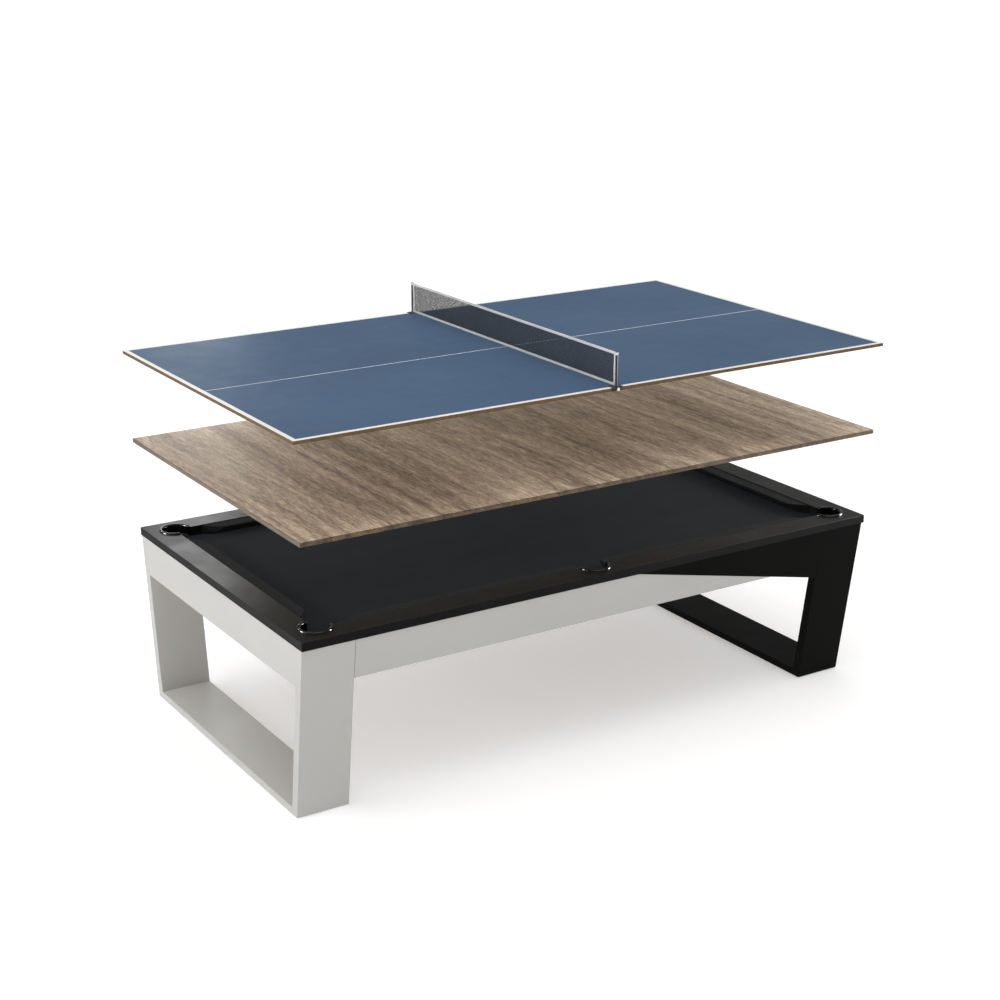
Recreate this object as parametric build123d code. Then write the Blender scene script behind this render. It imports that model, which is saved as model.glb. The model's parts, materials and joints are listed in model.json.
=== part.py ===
"""Convertible pool table: a slate-bed pool table on two end frames, one white and one black,
with a lift-off dining top and a lift-off table-tennis top raised above it.

Millimetres, +Z up. The origin is on the floor, under the centre of the table. +X runs
along the table towards the black end frame, and -Y is the front.
"""
import math
import os

from build123d import *

os.makedirs("parts", exist_ok=True)

# ---------------------------------------------------------------- driving dimensions
FIELD_L = 2540.0            # cushion nose to cushion nose, along the table
FIELD_W = FIELD_L / 2       # a pool table's field is two squares
RAIL_W = 180.0              # cushion nose to the outer edge of the rail
TABLE_H = 800.0             # floor to the top of the rails
CAP_W = 116.0               # visible width of a rail board
CAP_T = 36.0                # visible thickness of a rail board's outer edge
BED_DROP = 44.0             # rail top down to the cloth
NOSE_H = 36.5               # cushion nose above the cloth
CLOTH_T = 1.0
SLATE_T = 25.0
SLATE_OVER = 100.0          # slate beyond the cushion nose, under the rails
GAP = 0.3                   # fitting gap between neighbouring pieces

TABLE_L = FIELD_L + 2 * RAIL_W
TABLE_W = FIELD_W + 2 * RAIL_W
HALF_L = TABLE_L / 2
HALF_W = TABLE_W / 2
BED_Z = TABLE_H - BED_DROP
SLATE_Z = BED_Z - CLOTH_T
BEAM_Z = SLATE_Z - SLATE_T
CAP_Z = TABLE_H - CAP_T
BODY_Z = CAP_Z              # top of legs, aprons and end beams

# End frames and aprons. The long sides lean in towards the floor.
BODY_IN = 6.0               # body face set in from the rail's outer edge
FOOT_HALF_W = 712.0         # half the width over the base boards at the floor
LEG_T = 45.0
LEG_W = 235.0
APRON_T = 22.0
APRON_Z = 590.0             # bottom edge of aprons and end beams
END_BEAM_T = 36.0
BASE_TOP = 38.0
BASE_LIFT = 5.0             # base boards stand this far off the floor, on their levellers
SEAM = 2.0                  # shadow gap between a leg and its apron
WHITE_X = -HALF_L + 2.0     # outer face of the white end frame, upright
BLACK_X_TOP = HALF_L - 8.0  # outer face of the black end frame, leaning in
BLACK_X_FOOT = HALF_L - 25.0
DIAGONAL_X = 150.0          # where the black side panel's slanting edge starts at the rail
DIAGONAL_Z = 528.0          # where that edge meets the black leg

# Pockets
CORNER_IN = 120.0           # corner pocket's centre, in from both outer edges of the rails
SIDE_IN = 107.0             # side pocket's centre, in from the outer edge of the long rail
RIM_R_OUT = 73.0
RIM_R_IN = 58.0
RIM_PROUD = 8.0             # rim above the rail top
CUP_LIP_R = 61.0
CUP_R_TOP = 56.0
CUP_R_FOOT = 42.0
CUP_WALL = 3.0
CUP_Z = 642.0
CUP_GORES = 12              # stitched leather gores round a cup
CUP_SEAM = 0.3              # degrees between two gores
NOTCH_R = 62.0              # hole in slate and cloth for a cup
CORNER_MOUTH = 83.0         # cushion nose stops this far short of the field's corner
SIDE_MOUTH = 71.0           # half the side pocket's mouth at the nose
CORNER_CUT = 38.0           # degrees between a corner jaw and its cushion
SIDE_CUT = 7.0              # degrees between a side jaw and square

# Carcass
SIDE_BEAM_Y = 600.0         # inner face of a side beam
SIDE_BEAM_T = 40.0
BEAM_FOOT_Z = 610.0
CROSS_BEAM_X = (-1000.0, -FIELD_L * 0.18, FIELD_L * 0.18, 1000.0)
CROSS_BEAM_W = 70.0
OUTRIGGER_X = (-1120.0, -800.0, -320.0, 320.0, 800.0, 1120.0)

# Levellers
LEVELLER_Y = 620.0
PAD_R = 25.0
PAD_T = 6.0
STUD_R = 5.0
RECESS_R = 28.0
RECESS_Z = 14.0
INSERT_R = 9.0
STUD_TOP = 28.0

# Dining top
DINING_L = 2906.0
DINING_W = 1672.0
DINING_T = 18.0
LIPPING = 3.0
DINING_PAD_T = 10.0
DINING_RAISE = 387.0        # how far it hangs above its place on the rails

# Table-tennis top
TENNIS_L = 2940.0
TENNIS_W = 1690.0
TENNIS_T = 15.0
TENNIS_LIP = 4.0
TENNIS_PAD_T = 3.0
TENNIS_RAISE = 387.0        # how far it hangs above its place on the dining top
NET_H = 145.0
POST_R = 6.0

DINING_Z = TABLE_H + GAP + DINING_PAD_T + DINING_RAISE
DINING_TOP = DINING_Z + DINING_T
TENNIS_Z = DINING_TOP + GAP + TENNIS_PAD_T + TENNIS_RAISE
TENNIS_TOP = TENNIS_Z + TENNIS_T

FRONT = -1
BACK = 1
SIDES = (("front", FRONT), ("back", BACK))


# ---------------------------------------------------------------- helpers
def block(x0, x1, y0, y1, z0, z1):
    """A box from its low and high corners."""
    centre = Pos((x0 + x1) / 2, (y0 + y1) / 2, (z0 + z1) / 2)
    return centre * Box(x1 - x0, y1 - y0, z1 - z0)


def disc(x, y, z0, z1, radius):
    """An upright cylinder."""
    return Pos(x, y, (z0 + z1) / 2) * Cylinder(radius, z1 - z0)


def prism_y(points, y0, y1):
    """An outline of (x, z) points, extruded from y0 to y1."""
    face = Face(Wire.make_polygon([(x, y0, z) for x, z in points], close=True))
    return Solid.extrude(face, Vector(0, y1 - y0, 0))


def prism_x(points, x0, x1):
    """An outline of (y, z) points, extruded from x0 to x1."""
    face = Face(Wire.make_polygon([(x0, y, z) for y, z in points], close=True))
    return Solid.extrude(face, Vector(x1 - x0, 0, 0))


def prism_z(points, z0, z1):
    """An outline of (x, y) points, extruded from z0 to z1."""
    face = Face(Wire.make_polygon([(x, y, z0) for x, y in points], close=True))
    return Solid.extrude(face, Vector(0, 0, z1 - z0))


def on_side(shape, side):
    """A shape modelled at the front, or its mirror image at the back."""
    return mirror(shape, about=Plane.XZ) if side == BACK else shape


def save(name, *shapes):
    """Write one node: one solid, or a group of separate solids."""
    solids = [solid for shape in shapes for solid in shape.solids()]
    export_step(solids[0] if len(solids) == 1 else Compound(children=solids), f"parts/{name}.step")


def lean_y(z):
    """Front face of the body at height z."""
    return -(FOOT_HALF_W + (HALF_W - BODY_IN - FOOT_HALF_W) * z / BODY_Z)


def lean_x(z):
    """Outer face of the black end frame at height z."""
    return BLACK_X_FOOT + (BLACK_X_TOP - BLACK_X_FOOT) * z / BODY_Z


def leaning_slab(near, far, z0, z1, x0=-HALF_L, x1=HALF_L):
    """The space between two depths behind the leaning front face."""
    points = [(lean_y(z0) + near, z0), (lean_y(z1) + near, z1),
              (lean_y(z1) + far, z1), (lean_y(z0) + far, z0)]
    return prism_x(points, x0, x1)


def side_board(outline, thickness):
    """A board in the leaning front face, cut to an outline of (x, z) points."""
    slab = leaning_slab(0, thickness, 0, BODY_Z)
    return prism_y(outline, -HALF_W, -FOOT_HALF_W / 2) & slab


def corner_centre(end, side):
    return end * (HALF_L - CORNER_IN), side * (HALF_W - CORNER_IN)


def side_centre(side):
    return 0.0, side * (HALF_W - SIDE_IN)


POCKETS = [(f"{end_name}_{side_name}", *corner_centre(end, side))
           for end_name, end in (("left", -1), ("right", 1)) for side_name, side in SIDES]
POCKETS += [(f"middle_{side_name}", *side_centre(side)) for side_name, side in SIDES]


def cut_pockets(shape, radius, z0, z1):
    """Cut all six pocket holes out of a shape."""
    for _, x, y in POCKETS:
        shape = shape - disc(x, y, z0, z1, radius)
    return shape


# ---------------------------------------------------------------- end frames
BOLT_R = 4.0
BOLT_HEAD_R = 8.0
FRAME_BOLT_Y = 698.0
FRAME_BOLT_TOP = 92.0
WHITE_BOLT_X = (WHITE_X + 60, WHITE_X + LEG_W - 60)
BLACK_BOLT_X = (BLACK_X_FOOT - LEG_W + 60, BLACK_X_FOOT - 60)
WHITE_FOOT_X = WHITE_X + LEG_W / 2
BLACK_FOOT_X = BLACK_X_FOOT - LEG_W / 2


def frame_bolt(x, y, slack=0.0):
    """A socket-head bolt from below a base board up into a leg."""
    shank = disc(x, y, BASE_LIFT + 9, FRAME_BOLT_TOP + slack, BOLT_R + slack)
    head = disc(x, y, BASE_LIFT + 1 - 4 * slack, BASE_LIFT + 9, BOLT_HEAD_R + slack)
    return head + shank


def leg(outline, bolts_x):
    """A leg board between the base board and the rail, drilled for its bolts."""
    board = side_board(outline, LEG_T)
    for x in bolts_x:
        board = board - frame_bolt(x, -FRAME_BOLT_Y, 0.4)
    return board


def base_board(outline, bolts_x, foot_x):
    """The flat board that joins two legs at the floor, drilled for bolts and levellers."""
    ends = [(lean_y(BASE_LIFT), BASE_LIFT), (lean_y(BASE_TOP), BASE_TOP),
            (-lean_y(BASE_TOP), BASE_TOP), (-lean_y(BASE_LIFT), BASE_LIFT)]
    board = prism_y(outline, -FOOT_HALF_W * 1.2, FOOT_HALF_W * 1.2) & prism_x(ends, -HALF_L, HALF_L)
    for side in (FRONT, BACK):
        for x in bolts_x:
            board = board - frame_bolt(x, side * FRAME_BOLT_Y, 0.4)
        y = side * LEVELLER_Y
        board = board - disc(foot_x, y, 0, RECESS_Z, RECESS_R)
        board = board - disc(foot_x, y, RECESS_Z, BASE_TOP - 2, INSERT_R)
    return board


def end_beam(x0_low, x0_top, x1_low, x1_top):
    """The apron across one end, between the legs."""
    ends = [(lean_y(APRON_Z) + LEG_T + GAP, APRON_Z), (lean_y(BODY_Z) + LEG_T + GAP, BODY_Z),
            (-lean_y(BODY_Z) - LEG_T - GAP, BODY_Z), (-lean_y(APRON_Z) - LEG_T - GAP, APRON_Z)]
    side = [(x0_low, APRON_Z), (x0_top, BODY_Z), (x1_top, BODY_Z), (x1_low, APRON_Z)]
    return prism_x(ends, -HALF_L, HALF_L) & prism_y(side, -HALF_W, HALF_W)


white_leg = leg([(WHITE_X, BASE_TOP), (WHITE_X, BODY_Z),
                 (WHITE_X + LEG_W, BODY_Z), (WHITE_X + LEG_W, BASE_TOP)], WHITE_BOLT_X)
black_leg = leg([(lean_x(BASE_TOP), BASE_TOP), (lean_x(BODY_Z), BODY_Z),
                 (lean_x(BODY_Z) - LEG_W, BODY_Z), (lean_x(BASE_TOP) - LEG_W, BASE_TOP)], BLACK_BOLT_X)
for side_name, side in SIDES:
    save(f"white_leg_{side_name}", on_side(white_leg, side))
    save(f"black_leg_{side_name}", on_side(black_leg, side))

save("white_base_board",
     base_board([(WHITE_X, BASE_LIFT), (WHITE_X, BASE_TOP),
                 (WHITE_X + LEG_W, BASE_TOP), (WHITE_X + LEG_W, BASE_LIFT)],
                WHITE_BOLT_X, WHITE_FOOT_X))
save("black_base_board",
     base_board([(lean_x(BASE_LIFT), BASE_LIFT), (lean_x(BASE_TOP), BASE_TOP),
                 (lean_x(BASE_TOP) - LEG_W, BASE_TOP), (lean_x(BASE_LIFT) - LEG_W, BASE_LIFT)],
                BLACK_BOLT_X, BLACK_FOOT_X))
save("white_end_beam", end_beam(WHITE_X, WHITE_X, WHITE_X + END_BEAM_T, WHITE_X + END_BEAM_T))
save("black_end_beam", end_beam(lean_x(APRON_Z) - END_BEAM_T, lean_x(BODY_Z) - END_BEAM_T,
                                lean_x(APRON_Z), lean_x(BODY_Z)))
save("frame_bolts", *[frame_bolt(x, side * FRAME_BOLT_Y)
                      for x in WHITE_BOLT_X + BLACK_BOLT_X for _, side in SIDES])

# ---------------------------------------------------------------- aprons
# Along each long side a white board runs from the white leg. A black board from the black
# leg covers it along one slanting edge, which starts at the rail.
diagonal_slope = (BODY_Z - DIAGONAL_Z) / (lean_x(DIAGONAL_Z) - LEG_W - DIAGONAL_X)
white_tip_x = DIAGONAL_X + (BODY_Z - APRON_Z) / diagonal_slope
white_apron = side_board([(WHITE_X + LEG_W + SEAM, APRON_Z), (WHITE_X + LEG_W + SEAM, BODY_Z),
                          (DIAGONAL_X - 1, BODY_Z), (white_tip_x - 1, APRON_Z)], APRON_T)
black_apron = side_board([(DIAGONAL_X, BODY_Z), (lean_x(BODY_Z) - LEG_W - GAP, BODY_Z),
                          (lean_x(DIAGONAL_Z) - LEG_W - GAP, DIAGONAL_Z)], APRON_T)
for side_name, side in SIDES:
    save(f"white_apron_{side_name}", on_side(white_apron, side))
    save(f"black_apron_{side_name}", on_side(black_apron, side))

# ---------------------------------------------------------------- carcass under the slate
SCREW_R = 2.5
SCREW_HEAD_R = 5.0
SCREW_L = 60.0
SCREW_Y = SIDE_BEAM_Y + SIDE_BEAM_T / 2
SCREW_X = (-1200.0, -860.0, -540.0, -375.0, 375.0, 540.0, 860.0, 1200.0)
BOLT_Y = HALF_W - 98.0
SIDE_BOLT_X = (250.0, 620.0, 990.0)
END_BOLT_X = HALF_L - 98.0
END_BOLT_Y = (-350.0, 0.0, 350.0)
RAIL_BOLT_TOP = TABLE_H - 12.0
rail_bolt_places = [(sx * x, side * BOLT_Y) for x in SIDE_BOLT_X for sx in (-1, 1) for side in (-1, 1)]
rail_bolt_places += [(sx * END_BOLT_X, y) for sx in (-1, 1) for y in END_BOLT_Y]
screw_places = [(x, side * SCREW_Y) for x in SCREW_X for side in (-1, 1)]


def slate_screw(x, y, slack=0.0):
    """A countersunk screw from the top of the slate down into a side beam."""
    shank = disc(x, y, SLATE_Z - SCREW_L - slack, SLATE_Z, SCREW_R + slack)
    rise = SCREW_HEAD_R - SCREW_R
    head = Pos(x, y, SLATE_Z - rise / 2) * Cone(SCREW_R + slack, SCREW_HEAD_R + slack, rise)
    return shank + head


def rail_bolt(x, y, slack=0.0):
    """A hexagon-head bolt with its washer, from below the slate up into a rail board."""
    shank = disc(x, y, BEAM_Z, RAIL_BOLT_TOP + slack, BOLT_R + slack)
    washer = disc(x, y, BEAM_Z - 2, BEAM_Z, 11)
    head = Pos(x, y, BEAM_Z - 2 - 6) * extrude(RegularPolygon(7.5, 6), 6)
    return shank if slack else shank + washer + head


def drill(shape, places, tool):
    for x, y in places:
        shape = shape - tool(x, y, 0.3)
    return shape


beam_x0 = WHITE_X + END_BEAM_T + GAP
beam_x1 = lean_x(BEAM_FOOT_Z) - END_BEAM_T - GAP
side_beam = block(beam_x0, beam_x1, -SIDE_BEAM_Y - SIDE_BEAM_T, -SIDE_BEAM_Y, BEAM_FOOT_Z, BEAM_Z)
front_beam = drill(side_beam, [place for place in screw_places if place[1] < 0], slate_screw)
for side_name, side in SIDES:
    save(f"side_beam_{side_name}", on_side(front_beam, side))

save("cross_beams", *[block(x - CROSS_BEAM_W / 2, x + CROSS_BEAM_W / 2, -SIDE_BEAM_Y, SIDE_BEAM_Y,
                            BEAM_FOOT_Z, BEAM_Z) for x in CROSS_BEAM_X])

outrigger = [block(x - 25, x + 25, -HALF_W, -SIDE_BEAM_Y - SIDE_BEAM_T, 640, BEAM_Z - 10)
             - leaning_slab(-100, APRON_T, 600, BODY_Z) for x in OUTRIGGER_X]
save("outrigger_blocks", *[on_side(shape, side) for shape in outrigger for _, side in SIDES])

corner_block_x = [(WHITE_X + END_BEAM_T, WHITE_X + END_BEAM_T + 60),
                  (lean_x(APRON_Z) - END_BEAM_T - 60, lean_x(APRON_Z) - END_BEAM_T)]
corner_blocks = [block(x0, x1, -HALF_W, -SIDE_BEAM_Y - SIDE_BEAM_T, APRON_Z + 6, CUP_Z - 6)
                 - leaning_slab(-100, LEG_T, 500, BODY_Z) for x0, x1 in corner_block_x]
save("corner_blocks", *[on_side(shape, side) for shape in corner_blocks for _, side in SIDES])

# ---------------------------------------------------------------- slate and cloth
slate_half_l = FIELD_L / 2 + SLATE_OVER
slate_half_w = FIELD_W / 2 + SLATE_OVER
slate_third = 2 * slate_half_l / 3
for index, name in enumerate(("slate_left", "slate_middle", "slate_right")):
    x0 = -slate_half_l + index * slate_third + (GAP / 2 if index else 0)
    x1 = -slate_half_l + (index + 1) * slate_third - (GAP / 2 if index < 2 else 0)
    slab = block(x0, x1, -slate_half_w, slate_half_w, BEAM_Z, SLATE_Z)
    slab = cut_pockets(slab, NOTCH_R, BEAM_Z - 1, SLATE_Z + 1)
    slab = drill(slab, [place for place in screw_places if x0 < place[0] < x1], slate_screw)
    slab = drill(slab, [place for place in rail_bolt_places if x0 < place[0] < x1], rail_bolt)
    save(name, slab)

cloth = block(-slate_half_l + 15, slate_half_l - 15, -slate_half_w + 15, slate_half_w - 15, SLATE_Z, BED_Z)
cloth = cut_pockets(cloth, NOTCH_R, SLATE_Z - 1, BED_Z + 1)
cloth = drill(cloth, rail_bolt_places, rail_bolt)
save("bed_cloth", cloth)
save("slate_screws", *[slate_screw(x, y) for x, y in screw_places])
save("rail_bolts", *[rail_bolt(x, y) for x, y in rail_bolt_places])

# ---------------------------------------------------------------- rails
# A rail board's inner part is deeper than its outer edge, and stands on the cloth.
cap_in_l = HALF_L - CAP_W
cap_in_w = HALF_W - CAP_W
skirt_l = slate_half_l
skirt_w = slate_half_w
rail_ring = block(-HALF_L, HALF_L, -HALF_W, HALF_W, CAP_Z, TABLE_H)
rail_ring = rail_ring + block(-skirt_l, skirt_l, -skirt_w, skirt_w, BED_Z + 0.2, CAP_Z)
rail_ring = rail_ring - block(-cap_in_l, cap_in_l, -cap_in_w, cap_in_w, BED_Z - 1, TABLE_H + 1)
rail_ring = cut_pockets(rail_ring, RIM_R_OUT + GAP, BED_Z - 1, TABLE_H + 1)
rail_ring = drill(rail_ring, rail_bolt_places, rail_bolt)
mitre_y = HALF_W - HALF_L          # where the 45 degree mitre lines meet the table's long axis
long_wedge = [(-HALF_L + GAP, -HALF_W), (HALF_L - GAP, -HALF_W), (-mitre_y - GAP, 0), (mitre_y + GAP, 0)]
end_wedge = [(-HALF_L, -HALF_W + GAP), (mitre_y, -GAP), (mitre_y, GAP), (-HALF_L, HALF_W - GAP)]
front_cap = rail_ring & prism_z(long_wedge, BED_Z - 2, TABLE_H + 2)
left_cap = rail_ring & prism_z(end_wedge, BED_Z - 2, TABLE_H + 2)
top_edge = 1.5


def eased(cap):
    """Ease the long top edges of a rail board."""
    edges = cap.edges().filter_by(lambda e: e.geom_type == GeomType.LINE and e.length > 900)
    top = [e for e in edges if abs(e.center().Z - TABLE_H) < 0.01]
    outer = [e for e in top if max(abs(e.center().X) / HALF_L, abs(e.center().Y) / HALF_W) > 0.99]
    return fillet(outer, top_edge)


front_cap = eased(front_cap)
left_cap = eased(left_cap)
save("rail_cap_front", front_cap)
save("rail_cap_back", mirror(front_cap, about=Plane.XZ))
save("rail_cap_left", left_cap)
save("rail_cap_right", mirror(left_cap, about=Plane.YZ))

# ---------------------------------------------------------------- cushions
CUSHION_BACK = RAIL_W - CAP_W - GAP    # nose back to the rail board
nose_z = BED_Z + NOSE_H


def cushion_profile():
    """Across a cushion: (distance behind the nose, height)."""
    return [(CUSHION_BACK, BED_Z + 1), (CUSHION_BACK, TABLE_H - 1.5), (5, nose_z + 1.5),
            (0.8, nose_z), (0, nose_z - 1.5), (1.5, nose_z - 4), (30, BED_Z + 1)]


def jaw(cut_degrees, corner):
    """How far along the cushion its jaw runs, from the nose back to the rail board."""
    reach = CUSHION_BACK / math.tan(math.radians(cut_degrees)) if corner else \
        -CUSHION_BACK * math.tan(math.radians(cut_degrees))
    return reach


def long_cushion():
    """The cushion at the front, left of the side pocket."""
    nose = -FIELD_W / 2
    back = nose - CUSHION_BACK
    profile = prism_x([(nose - d, z) for d, z in cushion_profile()], -HALF_L, HALF_L)
    x0 = -FIELD_L / 2 + CORNER_MOUTH
    x1 = -SIDE_MOUTH
    plan = [(x0 - jaw(CORNER_CUT, True), back), (x0, nose + 1), (x1, nose + 1),
            (x1 - jaw(SIDE_CUT, False), back)]
    return profile & prism_z(plan, BED_Z, TABLE_H)


def end_cushion():
    """The cushion at the white end."""
    nose = -FIELD_L / 2
    back = nose - CUSHION_BACK
    profile = prism_y([(nose - d, z) for d, z in cushion_profile()], -HALF_W, HALF_W)
    y1 = FIELD_W / 2 - CORNER_MOUTH
    y2 = y1 + jaw(CORNER_CUT, True)
    plan = [(back, -y2), (nose + 1, -y1), (nose + 1, y1), (back, y2)]
    return profile & prism_z(plan, BED_Z, TABLE_H)


front_left = long_cushion()
left_end = end_cushion()
for side_name, side in SIDES:
    save(f"cushion_{side_name}_left", on_side(front_left, side))
    save(f"cushion_{side_name}_right", on_side(mirror(front_left, about=Plane.YZ), side))
save("cushion_end_left", left_end)
save("cushion_end_right", mirror(left_end, about=Plane.YZ))


# ---------------------------------------------------------------- pockets
def pocket_rim(x, y):
    """A C-shaped rim with a rounded top, open where the rail boards stop."""
    rim_z0 = CAP_Z + 0.5
    rim_z1 = TABLE_H + RIM_PROUD
    section = Pos((RIM_R_IN + RIM_R_OUT) / 2, 0, (rim_z0 + rim_z1) / 2) \
        * (Plane.XZ * Rectangle(RIM_R_OUT - RIM_R_IN, rim_z1 - rim_z0))
    top = section.vertices().filter_by(lambda v: v.Z > rim_z1 - 1)
    section = fillet(top, 6)
    ring = Pos(x, y, 0) * revolve(section, Axis.Z, 360)
    return ring - block(-cap_in_l, cap_in_l, -cap_in_w, cap_in_w, BED_Z, TABLE_H + 10)


def pocket_cup(x, y):
    """A tapered cup of stitched gores round a foot. Its lip stops at the slate, where balls roll in."""
    lip_z = CAP_Z + 0.5
    outside = [(CUP_R_FOOT, CUP_Z), (CUP_R_TOP, lip_z - 12), (CUP_R_TOP, lip_z - 3),
               (CUP_LIP_R, lip_z - 3), (CUP_LIP_R, lip_z)]
    inside = [(CUP_R_TOP - CUP_WALL, lip_z), (CUP_R_TOP - CUP_WALL, lip_z - 12),
              (CUP_R_FOOT - CUP_WALL, CUP_Z)]
    face = Face(Wire.make_polygon([(r, 0, z) for r, z in outside + inside], close=True))
    turn = 360 / CUP_GORES
    gore = revolve(face, Axis.Z, turn - CUP_SEAM)
    field_side = block(-cap_in_l, cap_in_l, -cap_in_w, cap_in_w, SLATE_Z - 3, TABLE_H)
    gores = [Pos(x, y, 0) * Rot(0, 0, turn * count) * gore - field_side for count in range(CUP_GORES)]
    foot = disc(x, y, CUP_Z, CUP_Z + CUP_WALL, CUP_R_FOOT - CUP_WALL - GAP)
    return [foot] + gores


save("pocket_rims", *[pocket_rim(x, y) for _, x, y in POCKETS])
for name, x, y in POCKETS:
    save(f"pocket_cup_{name}", *pocket_cup(x, y))


# ---------------------------------------------------------------- levellers
def leveller(x, y):
    """A foot pad on a threaded stud."""
    pad = disc(x, y, 0, PAD_T, PAD_R)
    pad = chamfer(pad.edges().filter_by(GeomType.CIRCLE), 1)
    return pad + disc(x, y, PAD_T, STUD_TOP, STUD_R)


def leveller_insert(x, y):
    """The threaded insert in the base board that a stud turns in."""
    return disc(x, y, RECESS_Z, BASE_TOP - 2, INSERT_R - 0.05) - disc(x, y, 0, TABLE_H, STUD_R + 0.06)


foot_places = [(f"{end_name}_{side_name}", x, side * LEVELLER_Y)
               for end_name, x in (("white", WHITE_FOOT_X), ("black", BLACK_FOOT_X))
               for side_name, side in SIDES]
for name, x, y in foot_places:
    save(f"leveller_{name}", leveller(x, y))
save("leveller_inserts", *[leveller_insert(x, y) for _, x, y in foot_places])


# ---------------------------------------------------------------- dining top
def edge_strips(length, width, thickness, z0, z1):
    """Four strips round a panel of the given outside size."""
    x, y = length / 2, width / 2
    t = thickness
    return [block(-x, x, -y, -y + t, z0, z1), block(-x, x, y - t, y, z0, z1),
            block(-x, -x + t, -y + t, y - t, z0, z1), block(x - t, x, -y + t, y - t, z0, z1)]


save("dining_panel", block(-DINING_L / 2 + LIPPING, DINING_L / 2 - LIPPING,
                           -DINING_W / 2 + LIPPING, DINING_W / 2 - LIPPING, DINING_Z, DINING_TOP))
save("dining_lipping", *edge_strips(DINING_L, DINING_W, LIPPING, DINING_Z, DINING_TOP))

pad_y = HALF_W - 40.0
pad_z = DINING_Z - DINING_PAD_T
dining_pads = [block(x - 150, x + 150, side * pad_y - 18, side * pad_y + 18, pad_z, DINING_Z)
               for x in (-1000.0, -400.0, 400.0, 1000.0) for side in (-1, 1)]
dining_pads += [block(end * (HALF_L - 40) - 18, end * (HALF_L - 40) + 18, y - 100, y + 100, pad_z, DINING_Z)
                for end in (-1, 1) for y in (-350.0, 350.0)]
save("dining_pads", *dining_pads)

CLEAT_CLEAR = 7.0           # between a cleat and the cushion noses
cleat_y = FIELD_W / 2 - CLEAT_CLEAR
cleat_x = FIELD_L / 2 - CLEAT_CLEAR
dining_cleats = [block(x - 90, x + 90, min(side * cleat_y, side * (cleat_y - 20)),
                       max(side * cleat_y, side * (cleat_y - 20)), DINING_Z - 24, DINING_Z)
                 for x in (-900.0, 900.0) for side in (-1, 1)]
dining_cleats += [block(min(end * cleat_x, end * (cleat_x - 20)), max(end * cleat_x, end * (cleat_x - 20)),
                        -90, 90, DINING_Z - 24, DINING_Z) for end in (-1, 1)]
save("dining_cleats", *dining_cleats)

# ---------------------------------------------------------------- table-tennis top
DOWEL_R = 4.0
DOWEL_L = 30.0
DOWEL_Y = (-560.0, -190.0, 190.0, 560.0)
NET_SCREW_R = 2.5
NET_SCREW_Z = TENNIS_Z + TENNIS_T / 2
NET_SCREW_L = 22.0
tennis_x = TENNIS_L / 2
tennis_y = TENNIS_W / 2
dowel_z = TENNIS_Z + TENNIS_T / 2


def dowel(y, slack=0.0):
    """A dowel across the joint between the two halves."""
    return Pos(0, y, dowel_z) * Rot(0, 90, 0) * Cylinder(DOWEL_R + slack, 2 * (DOWEL_L + slack))


def net_screw(side, slack=0.0):
    """A thumb screw that holds a net bracket to the edge of the top."""
    shank = Pos(0, side * (tennis_y + 4 - NET_SCREW_L / 2), NET_SCREW_Z) \
        * Rot(90, 0, 0) * Cylinder(NET_SCREW_R + slack, NET_SCREW_L + 8 + 2 * slack)
    if slack:
        return shank
    knob = Pos(0, side * (tennis_y + 3.2 + 4), NET_SCREW_Z) * Rot(90, 0, 0) * Cylinder(7, 8)
    return shank + fillet(knob.edges().filter_by(GeomType.CIRCLE), 1.5)


def tennis_half(end):
    """One half of the top, inside its lipping, drilled for dowels and net screws."""
    x0, x1 = sorted((end * 0.5, end * (tennis_x - TENNIS_LIP)))
    half = block(x0, x1, -tennis_y + TENNIS_LIP, tennis_y - TENNIS_LIP, TENNIS_Z, TENNIS_TOP)
    for y in DOWEL_Y:
        half = half - dowel(y, 0.1)
    for side in (-1, 1):
        half = half - net_screw(side, 0.1)
    return half


save("tennis_half_left", tennis_half(-1))
save("tennis_half_right", tennis_half(1))
lip_strips = []
for end in (-1, 1):
    x0, x1 = sorted((end * 0.5, end * tennis_x))
    for side in (-1, 1):
        y0, y1 = sorted((side * (tennis_y - TENNIS_LIP), side * tennis_y))
        lip_strips.append(block(x0, x1, y0, y1, TENNIS_Z, TENNIS_TOP) - net_screw(side, 0.1))
    x0, x1 = sorted((end * (tennis_x - TENNIS_LIP), end * tennis_x))
    lip_strips.append(block(x0, x1, -tennis_y + TENNIS_LIP, tennis_y - TENNIS_LIP, TENNIS_Z, TENNIS_TOP))
save("tennis_lipping", *lip_strips)
save("tennis_pads", *[block(x - 120, x + 120, y - 15, y + 15, TENNIS_Z - TENNIS_PAD_T, TENNIS_Z)
                      for x in (-1250.0, -750.0, -200.0, 200.0, 750.0, 1250.0) for y in (-700.0, 0.0, 700.0)])
save("tennis_dowels", *[dowel(y) for y in DOWEL_Y])

# ---------------------------------------------------------------- net
BRACKET_HALF_X = 27.0
BRACKET_T = 2.5
post_y = tennis_y - 8.0
net_z0 = TENNIS_TOP + BRACKET_T + 1
net_top = TENNIS_TOP + NET_H


def net_bracket(side):
    """An angle over the edge of the top, with a slot open at the bottom for its screw."""
    top = block(-BRACKET_HALF_X, BRACKET_HALF_X, tennis_y - 30, tennis_y + BRACKET_T + 0.2,
                TENNIS_TOP + 0.1, TENNIS_TOP + 0.1 + BRACKET_T)
    flange = block(-BRACKET_HALF_X, BRACKET_HALF_X, tennis_y + 0.2, tennis_y + 0.2 + BRACKET_T,
                   TENNIS_Z + 1, TENNIS_TOP + 0.1)
    slot = block(-3, 3, tennis_y - 1, tennis_y + 5, TENNIS_Z - 1, NET_SCREW_Z + 3.2)
    bracket = (top + flange) - slot - disc(0, post_y, TENNIS_TOP - 1, TENNIS_TOP + 5, POST_R + 0.02)
    return on_side(mirror(bracket, about=Plane.XZ), side)


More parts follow.
